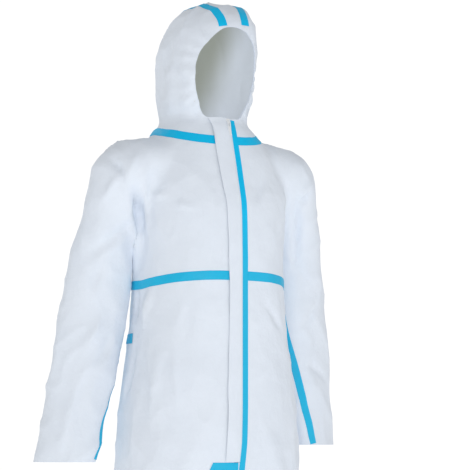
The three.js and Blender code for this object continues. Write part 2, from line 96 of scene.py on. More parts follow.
room = bpy.data.worlds.new("white_room")
bpy.context.scene.world = room
room.use_nodes = True
room.node_tree.nodes["Background"].inputs["Color"].default_value = (1, 1, 1, 1)
room.node_tree.nodes["Background"].inputs["Strength"].default_value = 0.47
seen = room.node_tree.nodes.new("ShaderNodeBackground")
seen.inputs["Color"].default_value = (1, 1, 1, 1)
seen.inputs["Strength"].default_value = 1.05
ray = room.node_tree.nodes.new("ShaderNodeLightPath")
pick = room.node_tree.nodes.new("ShaderNodeMixShader")
room.node_tree.links.new(ray.outputs["Is Camera Ray"], pick.inputs[0])
room.node_tree.links.new(room.node_tree.nodes["Background"].outputs[0], pick.inputs[1])
room.node_tree.links.new(seen.outputs[0], pick.inputs[2])
room.node_tree.links.new(pick.outputs[0], room.node_tree.nodes["World Output"].inputs[0])
bpy.context.scene.view_settings.view_transform = "Standard"

floor_mesh = bpy.data.meshes.new("floor")
floor_level = cad_box[0][2] - 0.012
floor_mesh.from_pydata([(x * 14, y * 14, floor_level) for x, y in ((-1, -1), (1, -1), (1, 1), (-1, 1))], [],
                       [(0, 1, 2, 3)])
floor = bpy.data.objects.new("floor", floor_mesh)
bpy.context.scene.collection.objects.link(floor)
floor_paint = bpy.data.materials.new("floor_paint")
floor_paint.use_nodes = True
floor_shader = floor_paint.node_tree.nodes["Principled BSDF"]
floor_shader.inputs["Base Color"].default_value = (0.93, 0.93, 0.93, 1)
floor_shader.inputs["Roughness"].default_value = 0.9
floor_shader.inputs["Emission Color"].default_value = (1, 1, 1, 1)
floor_shader.inputs["Emission Strength"].default_value = 0.45
floor_mesh.materials.append(floor_paint)

# ---- The cloth: white film laminate on a spun fibre backing --------------------------------------
# A thin nonwoven with a point-bonded grain and a matt film on its face. It creases softly, and it is a
# little cooler and deeper where the film lies thick.


class Sum:
    """A number on a shader wire, so that masks and heights are written as plain sums."""

    def __init__(self, paint, wire):
        self.paint, self.wire = paint, wire

    def work(self, operation, *terms):
        return self.paint.node("ShaderNodeMath", {"operation": operation}, dict(enumerate(terms)))

    def __add__(self, other):
        return self.work("ADD", self, other)

    def __sub__(self, other):
        return self.work("SUBTRACT", self, other)

    def __rsub__(self, other):
        return self.work("SUBTRACT", other, self)

    def __mul__(self, other):
        return self.work("MULTIPLY", self, other)

    __radd__, __rmul__ = __add__, __mul__


class Paint:
    """One material, with its Principled shader and the nodes that feed it."""

    def __init__(self, name, **constants):
        self.material = bpy.data.materials.new(name)
        self.material.use_nodes = True
        self.tree = self.material.node_tree
        self.shader = self.tree.nodes["Principled BSDF"]
        for socket, value in constants.items():
            self.feed(self.shader.inputs[socket.replace("_", " ")], value)

    def feed(self, socket, value):
        if isinstance(value, Sum):
            self.tree.links.new(value.wire, socket)
        else:
            colour = isinstance(value, tuple) and len(socket.default_value) == 4
            socket.default_value = (*value, 1) if colour else value

    def node(self, kind, settings=None, values=None, out=0):
        made = self.tree.nodes.new(kind)
        for key, value in (settings or {}).items():
            if key == "stops":
                for k, (place, colour) in enumerate(value):
                    stop = made.color_ramp.elements[k] if k < 2 else made.color_ramp.elements.new(place)
                    stop.position, stop.color = place, (*colour, 1)
            else:
                setattr(made, key, value)
        for key, value in (values or {}).items():
            self.feed(made.inputs[key], value)
        return Sum(self, made.outputs[out])

    def place(self, axis=None):
        """Where a point lies in the suit's own frame, or one of its coordinates."""
        where = self.node("ShaderNodeTexCoord", out="Object")
        return where if axis is None else self.node("ShaderNodeSeparateXYZ", {}, {0: where}, out=axis)

    def noise(self, scale, detail=3.0, rough=0.5, stretch=None):
        where = self.place()
        if stretch:
            where = self.node("ShaderNodeVectorMath", {"operation": "MULTIPLY"}, {0: where, 1: stretch})
        return self.node("ShaderNodeTexNoise", {},
                         {"Vector": where, "Scale": scale, "Detail": detail, "Roughness": rough})

    def mix(self, share, first, second):
        return self.node("ShaderNodeMix", {"data_type": "RGBA"}, {0: share, 6: first, 7: second}, out=2)

    def emboss(self, *layers):
        """Stacks bump layers of (height, depth in metres, strength), the broadest first."""
        normal = None
        for height, depth, strength in layers:
            values = {"Height": height, "Distance": depth, "Strength": strength}
            if normal is not None:
                values["Normal"] = normal
            normal = self.node("ShaderNodeBump", {}, values)
        self.feed(self.shader.inputs["Normal"], normal)

    def coat(self, name, value):
        self.feed(self.shader.inputs[name], value)


def laminate(name, light, deep, crumple=1.0):
    paint = Paint(name, IOR=1.45, Sheen_Weight=0.12, Sheen_Roughness=0.6)
    drift = paint.noise(7, 2)
    cloud = paint.noise(41, 3, 0.6)
    paint.coat("Base Color", paint.mix((drift * 0.75 + cloud * 0.4 - 0.3), light, deep))
    grain = paint.node("ShaderNodeTexVoronoi", {"feature": "F1"}, {"Vector": paint.place(), "Scale": 620},
                       out="Distance")
    fibre = paint.noise(900, 2, 0.6, (1, 1, 0.25))
    crease = paint.node("ShaderNodeTexNoise", {"noise_type": "RIDGED_MULTIFRACTAL", "normalize": False},
                        {"Vector": paint.place(), "Scale": 11, "Detail": 2, "Roughness": 0.5, "Gain": 1.6})
    paint.coat("Roughness", 0.56 + cloud * 0.12 + grain * 0.06)
    paint.emboss((crease, 0.005 * crumple, 0.75), (paint.noise(26, 3, 0.5), 0.006, 0.5),
                 (grain + fibre * 0.6, 0.0003, 0.25))
    return paint.material


white_laminate = laminate("white_laminate", (0.80, 0.858, 0.94), (0.725, 0.79, 0.885))

# ---- The cut of the suit -------------------------------------------------------------------------
# The whole coverall as one skin before it is cut into panels: trunk, hood, sleeves and legs in one, as
# the body fills it. The sleeves are drawn a little raised, welded on and let down again, which folds the
# cloth at the armpits.
MM = 0.001
SIDE_SEAM_Y = 5
TRUNK = [  # height, half width, front, back, squareness
    (14, 100, -98, 86, 2.2), (0, 107, -103, 92, 2.2), (-20, 121, -109, 104, 2.3),
    (-50, 138, -118, 116, 2.4),
    (-100, 148, -132, 124, 2.5), (-150, 149, -145, 126, 2.5), (-215, 148, -147, 124, 2.4),
    (-288, 148, -147, 122, 2.4),
    (-395, 158, -147, 120, 2.3), (-500, 172, -147, 122, 2.3), (-620, 185, -146, 125, 2.3),
    (-720, 190, -136, 124, 2.3),
    (-800, 192, -122, 117, 2.3), (-850, 190, -100, 100, 2.2), (-874, 180, -40, 45, 2.0)]
HOOD = [
    (-14, 110, -105, 96, 2.1), (2, 103, -99, 89, 2.1), (20, 88, -93, 82, 2.1), (40, 88, -94, 81, 2.1),
    (65, 90, -107, 89, 2.2),
    (100, 92, -122, 96, 2.2), (150, 93, -132, 100, 2.2), (190, 91, -134, 98, 2.2), (220, 84, -128, 88, 2.2),
    (245, 70, -108, 68, 2.2), (260, 50, -80, 42, 2.2), (267, 20, -45, 12, 2.0)]
SLEEVE = [  # centre x, y, z, heading, half width, half depth, turn of the flattened tube
    (60, 2, -52, -5, 50, 88, 0), (128, 4, -62, -14, 56, 84, 0), (158, 7, -76, -30, 66, 76, 0),
    (178, 11, -100, -50, 73, 70, 0), (190, 14, -124, -66, 62, 63, 2), (200, 22, -165, -82, 55, 54, 6),
    (210, 30, -215, -86, 58, 46, 12), (220, 38, -290, -83, 64, 40, 17), (229, 44, -370, -81, 67, 38, 17),
    (240, 48, -440, -80, 66, 37, 22), (254, 54, -520, -79, 64, 34, 30), (266, 58, -580, -80, 64, 31, 36),
    (283, 63, -690, -80, 63, 30, 38)]
LEG = [  # height, centre x, y, half width, half depth
    (-760, 95, -2, 93, 112), (-830, 97, -3, 94, 110), (-900, 100, -4, 94, 104), (-980, 105, -6, 92, 98),
    (-1100, 112, -8, 91, 93), (-1200, 115, -12, 90, 90), (-1350, 117, -24, 87, 88),
    (-1450, 117, -32, 85, 87),
    (-1560, 117, -39, 84, 86)]
ARMPIT = (150, -215)
ARM_DOWN = [-180, 4, 6, 50, 150, 180]  # angle round the armpit with the sleeve hanging ...
ARM_RAISED = [-180, 4, 20, 64, 150, 180]  # ... and raised, degrees from straight down
CELL = 0.0065


def refine(rows, steps):
    """More sections on one smooth line through the drawn ones."""
    rows = np.array(rows, float)
    line = np.vstack([2 * rows[0] - rows[1], rows, 2 * rows[-1] - rows[-2]])
    out = []
    for k in range(1, len(line) - 2):
        a, b, c, d = line[k - 1:k + 3]
        for t in np.arange(steps) / steps:
            out.append(b + 0.5 * t * (c - a + t * (2 * a - 5 * b + 4 * c - d + t * (3 * (b - c) + d - a))))
    return np.array(out + [rows[-1]])


def sway(z):
    """How far the hood and collar stand off the middle, over their height."""
    return np.interp(z, [-60, -20, 0, 26, 60, 118, 180, 220, 250], [0, -4, -7, -10, -9, -6, -2, 3, 5])


def rounded(section, angles):
    z, half, front, back, power = section
    side = np.sign(np.cos(angles)) * np.abs(np.cos(angles)) ** (2 / power)
    depth = np.sign(np.sin(angles)) * np.abs(np.sin(angles)) ** (2 / power)
    reach = np.where(depth < 0, SIDE_SEAM_Y - front, back - SIDE_SEAM_Y)
    return np.stack([side * half + sway(z), SIDE_SEAM_Y + depth * reach, np.full_like(angles, z)], 1)


def sleeve_ring(section, angles, side):
    x, y, z, heading, half, deep, turn = section
    heading, turn = math.radians(heading), math.radians(turn)
    u, v = np.cos(angles) * half, np.sin(angles) * deep
    out = u * math.cos(turn) - v * math.sin(turn)
    back = u * math.sin(turn) + v * math.cos(turn)
    return np.stack([side * (x - out * math.sin(heading)), y + back, z + out * math.cos(heading)], 1)


def swing(points, before, after):
    """Turns points round the armpit, from one table of angles to another."""
    x, z = np.abs(points[:, 0]) - ARMPIT[0], points[:, 2] - ARMPIT[1]
    reach, angle = np.hypot(x, z), np.degrees(np.arctan2(x, -z))
    turned = np.radians(np.interp(angle, before, after))
    moved = points.copy()
    moved[:, 0] = np.sign(points[:, 0]) * (ARMPIT[0] + reach * np.sin(turned))
    moved[:, 2] = ARMPIT[1] - reach * np.cos(turned)
    return np.where((reach > 1e-6)[:, None], moved, points)


def tube(rings):
    count = len(rings[0])
    faces = [(r * count + k, r * count + (k + 1) % count,
              (r + 1) * count + (k + 1) % count, (r + 1) * count + k)
             for r in range(len(rings) - 1) for k in range(count)]
    last = (len(rings) - 1) * count
    return np.concatenate(rings), faces + [tuple(range(count)), tuple(range(last, last + count))]


angles = np.linspace(0, 2 * math.pi, 72, endpoint=False)
tubes = [tube([rounded(s, angles) for s in refine(TRUNK, 3)]),
         tube([rounded(s, angles) for s in refine(HOOD, 3)])]
for side in (1, -1):
    points, faces = tube([sleeve_ring(s, angles[::2], side) for s in refine(SLEEVE, 3)])
    tubes.append((swing(points, ARM_DOWN, ARM_RAISED), faces))
    tubes.append(tube([np.stack([side * (x + a * np.cos(angles)), y + b * np.sin(angles), np.full(72, z)],
                                1)
                       for z, x, y, a, b in refine(LEG, 2)]))
form = bmesh.new()
for points, faces in tubes:
    corners = [form.verts.new(p * MM) for p in points]
    for face in faces:
        form.faces.new([corners[k] for k in face])
bmesh.ops.recalc_face_normals(form, faces=form.faces)
form_mesh = bpy.data.meshes.new("form")
form.to_mesh(form_mesh)
form.free()
form_object = bpy.data.objects.new("form", form_mesh)
bpy.context.scene.collection.objects.link(form_object)
weld = form_object.modifiers.new("weld", "REMESH")
weld.mode, weld.voxel_size = "VOXEL", CELL
skin_mesh = bpy.data.meshes.new_from_object(form_object.evaluated_get(bpy.context.evaluated_depsgraph_get()))
bpy.data.objects.remove(form_object)
skin = np.empty(len(skin_mesh.vertices) * 3)
skin_mesh.vertices.foreach_get("co", skin)
skin = skin.reshape(-1, 3) / MM
skin_edges = np.empty(len(skin_mesh.edges) * 2, int)
skin_mesh.edges.foreach_get("vertices", skin_edges)
skin_edges = skin_edges.reshape(-1, 2)
neighbours = np.bincount(skin_edges.ravel(), minlength=len(skin))[:, None]


def relax(points, rounds, share):
    """Draws each point towards the middle of its neighbours. The share may differ from point to point."""
    for _ in range(rounds):
        total = np.stack([np.bincount(skin_edges[:, 0], points[skin_edges[:, 1], k], len(points))
                          + np.bincount(skin_edges[:, 1], points[skin_edges[:, 0], k],
                                        len(points)) for k in range(3)], 1)
        points = points + share * (total / neighbours - points)
    return points


def near(points, centre, radius):
    gap = (points - np.array(centre)) / radius
    return np.exp(-(gap ** 2).sum(1))[:, None]


skin = relax(skin, 5, 0.5)
level = np.stack([np.abs(skin[:, 0]), skin[:, 1], skin[:, 2]], 1)
joins = near(level, (160, -30, -150), (38, 60, 80)) + near(level, (160, 70, -150), (38, 60, 80))
joins = joins + near(level, (0, 0, -890), (70, 140, 40)) + 0.8 * near(level, (0, 0, 5), (170, 170, 22))
joins = joins + 0.9 * near(level, (150, 5, -60), (60, 90, 40))
skin = relax(skin, 16, 0.5 * np.clip(joins, 0, 1))
# above nought on the sleeves
sleeve_side = np.degrees(np.arctan2(np.abs(skin[:, 0]) - ARMPIT[0], ARMPIT[1] - skin[:, 2])) - 12
skin = swing(skin, ARM_RAISED, ARM_DOWN)

FACE_HALF = [(0, 204), (15, 201), (33, 189), (48, 172), (58, 153), (63, 122), (60, 88), (50, 57), (37, 31),
             (20, 27), (0, 26)]
face_line = refine([(x, z) for x, z in FACE_HALF] + [(-x, z) for x, z in FACE_HALF[-2::-1]], 6)[:-1]
face_line[:, 0] = face_line[:, 0] * 1.06 + 0.5 * sway(face_line[:, 1])
face_line[:, 0] -= 6 * np.exp(-((face_line[:, 1] - 204) / 14) ** 2)


def face_measure(points):
    """Distance from the edge of the face opening, below nought inside it."""
    xz = points[:, (0, 2)]
    gap, inside = np.full(len(points), 1e9), np.zeros(len(points), bool)
    for a, b in zip(face_line, np.roll(face_line, -1, 0)):
        t = np.clip(((xz - a) @ (b - a)) / ((b - a) @ (b - a)), 0, 1)
        gap = np.minimum(gap, np.linalg.norm(xz - a - t[:, None] * (b - a), axis=1))
        with np.errstate(divide="ignore", invalid="ignore"):
            inside ^= ((a[1] > xz[:, 1]) != (b[1] > xz[:, 1])) & (
                xz[:, 0] < (b[0] - a[0]) * (xz[:, 1] - a[1]) / (b[1] - a[1]) + a[0])
    return np.where((points[:, 1] < -30) & inside, -gap, gap)


def both_sides(points, width, height):
    """The same fold on the suit's right and on its left."""
    return [([(side * x, y, z) for x, y, z in points], width, height) for side in (-1, 1)]


# The cloth's own folds: a line of points, how wide, and how far out (below nought, in) the cloth goes
# there. A point of two numbers is drawn on the front view, as x and height, and is put on the cloth
# there.
FOLDS = [
    ([(-220, -55), (-210, -75), (-200, -95)], 8, -5), ([(-165, -60), (-155, -130), (-145, -205)], 10, 5),
    ([(-175, -120), (-165, -155), (-150, -200)], 11, -13), ([(-175, -50), (-195, -100)], 10, 4),
    ([(-190, -50, -125), (-170, -20, -175), (-150, 0, -220), (-145, 25, -300)], 15, 7),
    ([(-205, -85), (-235, -140)], 9, 3.5), ([(-175, -180), (-215, -215), (-250, -245)], 10, -3.5),
    ([(-230, -260), (-245, -320)], 9, -3), ([(-145, -130), (-125, -130)], 8, 2.5),
    ([(-115, -150), (-85, -155)], 8, 2), ([(175, -105), (190, -180), (195, -265)], 9, -6),
    ([(210, -105), (185, -130)], 9, -7), ([(215, -80), (185, -115)], 9, 5),
    ([(-140, -50, -310), (-155, -40, -380)], 12, 5), ([(-150, 0, -315), (-155, 0, -365)], 12, -8),
    ([(-160, -15, -430), (-175, 5, -535)], 12, -5), ([(230, -450), (285, -480)], 9, -3.5),
    ([(255, -320), (215, -380)], 9, -3), ([(-225, -370), (-255, -435)], 9, 3),
    ([(-200, -390), (-235, -475)], 9, -3), ([(-140, -85, -420), (-155, -80, -565)], 12, 3),
    ([(55, -335), (110, -390)], 10, -3), ([(65, -85), (40, -150)], 9, -3),
    ([(135, -95), (95, -215)], 12, 3), ([(-98, -130, -330), (-104, -130, -420)], 14, -2.5),
    ([(-110, -118, -560), (-118, -112, -480), (-122, -112, -410)], 11, 2.5),
    ([(-60, -142, -560), (-96, -132, -640), (-118, -112, -740)], 22, 3),
    ([(-30, -142, -600), (-52, -134, -700)], 18, -2.5),
    ([(60, -142, -580), (96, -130, -660), (122, -106, -760)], 22, 3),
    ([(34, -140, -660), (58, -126, -760)], 18, -2.5),
    *both_sides([(12, -110, -850), (60, -108, -878), (120, -100, -880)], 16, -4),
    *both_sides([(30, -92, -905), (90, -104, -935), (150, -84, -940)], 15, 3),
    ([(-60, -88, -1080), (-112, -102, -1110), (-170, -70, -1105)], 18, 3),
    ([(60, -88, -1090), (115, -102, -1116), (172, -68, -1108)], 18, 3),
    ([(-70, -92, -1135), (-118, -104, -1150), (-172, -70, -1140)], 15, -3),
    ([(70, -92, -1140), (118, -104, -1155), (172, -70, -1148)], 15, -3),
    ([(-170, -50, -960), (-178, -44, -1080), (-172, -52, -1240)], 22, 3),
    ([(172, -50, -980), (180, -44, -1120), (172, -56, -1300)], 22, 3),
    ([(-64, -98, -1240), (-72, -110, -1380), (-62, -110, -1490)], 20, 3),
    ([(66, -98, -1220), (76, -110, -1360), (66, -110, -1480)], 20, 3),
    ([(-150, -106, -1300), (-156, -110, -1420), (-152, -112, -1510)], 18, -3),
    ([(150, -104, -1310), (158, -108, -1420), (152, -112, -1510)], 18, -3),
    ([(-40, 126, -420), (-70, 122, -480), (-74, 128, -580)], 20, 4),
    ([(40, 126, -420), (64, 124, -500), (70, 128, -600)], 20, 4),
    ([(-100, 108, -420), (-116, 100, -500), (-122, 104, -600)], 20, 4),
    ([(100, 108, -420), (112, 102, -490), (124, 104, -590)], 20, 4),
    ([(0, 122, -418), (4, 122, -470), (-2, 124, -540)], 14, -4),
    ([(-70, 120, -396), (-64, 124, -330), (-60, 122, -250)], 20, 3),
    ([(70, 120, -396), (66, 124, -330), (58, 122, -250)], 20, 3),
    *both_sides([(130, 96, -80), (150, 80, -140), (156, 60, -205)], 17, -9),
    *both_sides([(80, 112, -800), (60, 96, -860), (20, 60, -890)], 18, -5),
    *both_sides([(60, 100, -930), (110, 98, -950), (160, 70, -930)], 18, 4),
    *both_sides([(70, 88, -1120), (114, 88, -1135), (160, 62, -1120)], 16, -4),
    *both_sides([(94, 0, 42), (86, -52, 36), (60, -82, 30)], 12, -3),
    ([(-92, -30, 60), (-96, -34, 110), (-92, -50, 150)], 20, 2.5),
    ([(-90, 40, 60), (-96, 50, 120), (-88, 56, 180)], 22, 3),
    ([(-88, -60, 120), (-94, -30, 170), (-84, -4, 214)], 16, -2),
    ([(92, -30, 60), (96, -34, 110), (92, -50, 150)], 20, 2.5),
    *both_sides([(40, 88, 60), (46, 96, 110), (40, 92, 170)], 20, 3),
    ([(0, -120, 232), (0, -80, 258)], 18, -2), ([(0, 90, 50), (0, 100, 110)], 16, -3)]


def outward(points, faces):
    """The cloth's direction out at each point."""
    normals = np.zeros_like(points)
    for a, b, c in ((0, 1, 2), (0, 2, 3)):
        first = points[faces[:, a]]
        lean = np.cross(points[faces[:, b]] - first, points[faces[:, c]] - first)
        for k in range(4):
            for axis in range(3):
                normals[:, axis] += np.bincount(faces[:, k], lean[:, axis], len(points))
    return normals / np.maximum(np.linalg.norm(normals, axis=1), 1e-12)[:, None]


def beside(points, path):
    """Distance from a line of points, and how far along it from 0 to 1."""
    path = np.array(path, float)
    steps = np.linalg.norm(np.diff(path, axis=0), axis=1)
    best, along, done = np.full(len(points), 1e9), np.zeros(len(points)), 0.0
    for a, b, step in zip(path, path[1:], steps):
        t = np.clip(((points - a) @ (b - a)) / step ** 2, 0, 1)
        gap = np.linalg.norm(points - a - t[:, None] * (b - a), axis=1)
        closer = gap < best
        best, along = np.where(closer, gap, best), np.where(closer, (done + t * step) / steps.sum(), along)
        done += step
    return best, along


skin_faces = np.array([tuple(p.vertices) if len(p.vertices) == 4 else (*p.vertices, p.vertices[2])
                       for p in skin_mesh.polygons])
skin_out = outward(skin, skin_faces)
skin_tree = BVHTree.FromPolygons(skin.tolist(), [tuple(p.vertices) for p in skin_mesh.polygons])


def on_front(point):
    """A fold's point, with its depth found on the front of the cloth where only x and height are drawn."""
    if len(point) == 3:
        return point
    across, height = point
    hit = skin_tree.ray_cast(Vector((across, -400, height)), Vector((0, 1, 0)))[0]
    return tuple(skin_tree.find_nearest(Vector((across, 0, height)))[0] if hit is None else hit)


from_face = np.where(skin[:, 1] < 40, face_measure(skin), 99)
round_face = np.arctan2(skin[:, 2] - 110, skin[:, 0])
flat_front = (1 - np.exp(-(skin[:, 0] / 34) ** 4) * (skin[:, 1] < -20)
              * (skin[:, 2] > -700) * (skin[:, 2] < 60))
lift = np.zeros(len(skin))
for path, width, height in FOLDS:
    gap, along = beside(skin, [on_front(point) for point in path])
    lift += 1.7 * height * np.exp(-(gap / (0.82 * width)) ** 2) * (0.25 + 0.75 * np.sin(math.pi * along))
ripple = (np.sin(skin[:, 2] / 47 + skin[:, 0] / 31) * np.sin(skin[:, 0] / 39 - skin[:, 1] / 28)
          + 0.6 * np.sin(skin[:, 2] / 23 - skin[:, 0] / 19 + 1.3) * np.sin(skin[:, 1] / 21
                  + skin[:, 2] / 61))
lift += 0.7 * ripple
lift += (1.9 * np.sin(round_face * 21 + 1.5 * np.sin(round_face * 5)) * (skin[:, 2] > 20)
         * np.exp(-(np.maximum(from_face, 0) / 22) ** 2) * (1 - 0.8 * np.exp(-(from_face / 6) ** 2)))
limb = (np.clip((np.abs(skin[:, 0]) - 120) / 60, 0, 1) * (skin[:, 2] > -700)
        + (skin[:, 2] < -860) + 1.2 * (skin[:, 2] > 45))
for scale, stretch, height in ((1 / 95, 0.55, 3.6), (1 / 48, 0.7, 1.9)):
    soft = np.array([noise.noise(Vector((p[0] * scale + 3, p[1] * scale, p[2] * scale * stretch)))
                     for p in skin])
    lift += height * (0.6 + 0.6 * limb) * ((1 - np.minimum(np.abs(soft) * 2.6, 1)) ** 2 - 0.25)
gather = (1.5 * np.sin(np.arctan2(skin[:, 1] - 5, skin[:, 0]) * 46)
          * np.exp(-((skin[:, 2] + 406) / 26) ** 2) * (skin[:, 1] > 15))
gather = gather * (np.abs(skin[:, 0]) < 165)
skin = skin + (skin_out * ((lift + gather) * flat_front)[:, None])

# ---- Panels: the skin is slit along its seams ----------------------------------------------------
# Each seam is a line where some measure of place is nought. Cuts follow the neck, chest, hood crown, face
# opening, front opening, and the ends of each moving length of the sleeves and legs.
cut = bmesh.new()
mark = cut.verts.layers.float.new("sleeve_side")
cut_corners = [cut.verts.new(p * MM) for p in skin]
for corner, value in zip(cut_corners, sleeve_side):
    corner[mark] = value
for face in skin_faces:
    corners = list(dict.fromkeys(face))
    cut.faces.new([cut_corners[k] for k in corners])


def slit(measure):
    """Cuts the faces where measure is nought. It is given x, y, z in millimetres and the sleeve side."""
    cut.verts.ensure_lookup_table()
    cut.verts.index_update()
    value = measure(np.array([(*(v.co / MM), v[mark]) for v in cut.verts]))
    ends = np.array([[v.index for v in e.verts] for e in cut.edges])
    crossed = np.nonzero(value[ends[:, 0]] * value[ends[:, 1]] < 0)[0]
    cut.edges.ensure_lookup_table()
    crossed = [cut.edges[k] for k in crossed]
    on_line = set()
    for edge in crossed:
        a, b = edge.verts
        fall = value[a.index] - value[b.index]
        share = value[a.index] / fall if fall != 0 else 0.5
        if share < 0.15 and value[a.index] != 0:
            a.co = a.co.lerp(b.co, share)
            value[a.index] = 0
        elif share > 0.85 and value[b.index] != 0:
            b.co = b.co.lerp(a.co, 1 - share)
            value[b.index] = 0
    for edge in crossed:
        a, b = edge.verts
        if value[a.index] * value[b.index] < 0:
            on_line.add(bmesh.utils.edge_split(edge, a,
                                               value[a.index] / (value[a.index] - value[b.index]))[1])
        on_line.update(v for v in (a, b) if value[v.index] == 0)
    for face in {f for v in on_line for f in v.link_faces}:
        corners = [v for v in face.verts if v in on_line]
        if len(corners) == 2 and not any(e.other_vert(corners[0]) is corners[1]
                                         for e in corners[0].link_edges):
            bmesh.utils.face_split(face, *corners)


def neck_height(y):
    return np.interp(y, [-115, -60, 0, 60, 100], [-20, -4, 7, 12, 15])


def neck_measure(points):
    return np.where(np.abs(points[:, 0]) < 145, points[:, 2] - neck_height(points[:, 1]), -50)


def chest_height(y):
    return np.interp(y, [-146, -120, -20, 60, 126], [-288, -291, -302, -300, -296])


def crown_half(points):
    return np.interp(points[:, 1], [-150, -128, -20, 60, 120], [20, 23, 43, 46, 44])


def crown_measure(points):
    return np.where(points[:, 2] > 0, np.abs(points[:, 0]) - crown_half(points), 50)


ARMHOLE, SLEEVE_SPLIT, THIGH_TOP, LEG_SPLIT = 261, -340, 783, -1045
CUFFS, HEM, ZIP_BOTTOM, SLOT = {1: -615, -1: -648}, -1517, -648, 7


ARM_LEAN, LEG_LEAN = (0.5, 0.866), (0.45, 0.89)  # how far out and how far down the limbs are measured
ABOVE_CROTCH = -800


def arm_reach(points):
    return ARM_LEAN[0] * np.abs(points[:, 0]) - ARM_LEAN[1] * points[:, 2]


def is_arm(points):
    return points[:, 3] > 0


def armhole_measure(points):
    return np.where(is_arm(points), arm_reach(points) - ARMHOLE, -50)


def leg_reach(points):
    return LEG_LEAN[0] * np.abs(points[:, 0]) - LEG_LEAN[1] * points[:, 2]


def on_arm(points, value):
    return np.where(is_arm(points) & (points[:, 2] > ABOVE_CROTCH), value, -50)


slit(neck_measure)
slit(lambda p: np.where(p[:, 2] > 0, face_measure(p), 50))
slit(crown_measure)
slit(lambda p: np.where(is_arm(p), -50, p[:, 2] - chest_height(p[:, 1])))
slit(armhole_measure)
slit(lambda p: on_arm(p, SLEEVE_SPLIT - p[:, 2]))
slit(lambda p: on_arm(p, np.where(p[:, 0] > 0, CUFFS[1], CUFFS[-1]) - p[:, 2]))
slit(lambda p: np.where(is_arm(p) & (p[:, 2] > ABOVE_CROTCH), -50, leg_reach(p) - THIGH_TOP))
slit(lambda p: LEG_SPLIT - p[:, 2])
slit(lambda p: HEM - p[:, 2])
slit(lambda p: np.where((p[:, 1] < -20) & (p[:, 2] < 60), np.abs(p[:, 0]) - SLOT, 50))
slit(lambda p: np.where((p[:, 1] < -20) & (np.abs(p[:, 0]) < SLOT + 12), ZIP_BOTTOM - p[:, 2], 50))

cut.normal_update()
cut.verts.index_update()
cloth_points = np.array([v.co for v in cut.verts])
cloth_out = np.array([v.normal for v in cut.verts])
cloth_faces = [[v.index for v in f.verts] for f in cut.faces]
middles = np.array([np.mean([(*(v.co / MM), v[mark]) for v in f.verts], 0) for f in cut.faces])
x, y, z = middles.T[:3]
arm = is_arm(middles) & (z > ABOVE_CROTCH) & (arm_reach(middles) > ARMHOLE)
left = x > 0
slot = (np.abs(x) < SLOT) & (y < -20) & (z > ZIP_BOTTOM) & (z < 40)
hood = neck_measure(middles) > 0
label = np.full(len(middles), "lower_body", object)
label[z > chest_height(y)] = "yoke"
label[hood] = "hood"
label[hood & (crown_measure(middles) < 0)] = "crown"
label[(leg_reach(middles) > THIGH_TOP) & (z < -700)] = "thigh"
label[z < LEG_SPLIT] = "shin"
label[arm] = "upper_sleeve"
label[arm & (z < SLEEVE_SPLIT)] = "forearm"
label[arm & (z < np.where(left, CUFFS[1], CUFFS[-1]))] = "waste"
label[(z < HEM) | slot | ((face_measure(middles) < 0) & (z > 0))] = "waste"
cut.free()


def panel_mesh(name, chosen, shift=0.0, flip=False):
    """A mesh of the chosen faces, moved along the cloth's direction out, with the whole skin's shading."""
    picked = [cloth_faces[k] for k in np.nonzero(chosen)[0]]
    used = np.unique(np.concatenate(picked))
    renumber = {old: new for new, old in enumerate(used)}
    points = cloth_points[used] + cloth_out[used] * shift
    mesh = bpy.data.meshes.new(name)
    faces = [[renumber[k] for k in (reversed(face) if flip else face)] for face in picked]
    mesh.from_pydata(points.tolist(), [], faces)
    mesh.polygons.foreach_set("use_smooth", [True] * len(mesh.polygons))
    mesh.normals_split_custom_set_from_vertices((cloth_out[used] * (-1 if flip else 1)).tolist())
    return mesh


def piece(name, mesh, material, stands_for=()):
    made = bpy.data.objects.new(name, mesh)
    mesh.materials.append(material)
    bpy.context.scene.collection.objects.link(made)
    if stands_for:
        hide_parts(*stands_for)
    return made


sides = {"left": 1, "right": -1}


def follow(made, name):
    """Hangs a torso piece on the torso's body. A piece of any other length of the suit only has its
    placement baked into its mesh and follows no body.
    """
    if name == "torso":
        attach(made, "torso")
    elif name == "hood":
        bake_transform(made)
    elif name == "upper_sleeve":
        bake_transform(made)
    elif name == "forearm":
        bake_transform(made)
    elif name == "thigh":
        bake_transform(made)
    elif name == "shin":
        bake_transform(made)
    return made


def panel(name, chosen, nodes, part):
    """A panel of the suit: the chosen faces of the skin."""
    made = follow(piece(name, panel_mesh(name, chosen), white_laminate, nodes), part)
    return made


panel("yoke", label == "yoke", ["left_front_yoke", "right_front_yoke", "back_yoke"], "torso")
panel("lower_body", label == "lower_body", ["left_lower_front", "right_lower_front", "left_lower_back",
                                            "right_lower_back"],
      "torso")
for side, k in sides.items():
    for name, node, cut_size, area, above in (
            ("upper_sleeve", "upper_sleeve", (0.36, 0.21), 0.052, "yoke"),
            ("forearm", "forearm_sleeve", (0.33, 0.28 if k > 0 else 0.31), 0.09 if k > 0 else 0.1,
             f"{side}_upper_sleeve_cloth"),
            ("thigh", "thigh", (0.62, 0.26), 0.133, "lower_body"),
            ("shin", "shin", (0.58, 0.475), 0.267, f"{side}_thigh_cloth")):
        panel(f"{side}_{name}_cloth", (label == name) & (left == (k > 0)), [f"{side}_{node}"], name)

# ---- Hood: crown strip and two side panels, with an inner face painted in shade ------------------
# The hood is cut in three and closed by two taped seams over the head. Its inner face is painted grey as
# shade, with a painted shade gradient that is darker towards the suit's right, the back and the top, and
# it glows a little: painted light standing in for light through the cloth.
panel("hood_crown_cloth", label == "crown", ["hood_crown_panel"], "hood")
panel("hood_left_cloth", (label == "hood") & left, ["hood_left_panel"], "hood")
panel("hood_right_cloth", (label == "hood") & ~left, ["hood_right_panel"], "hood")
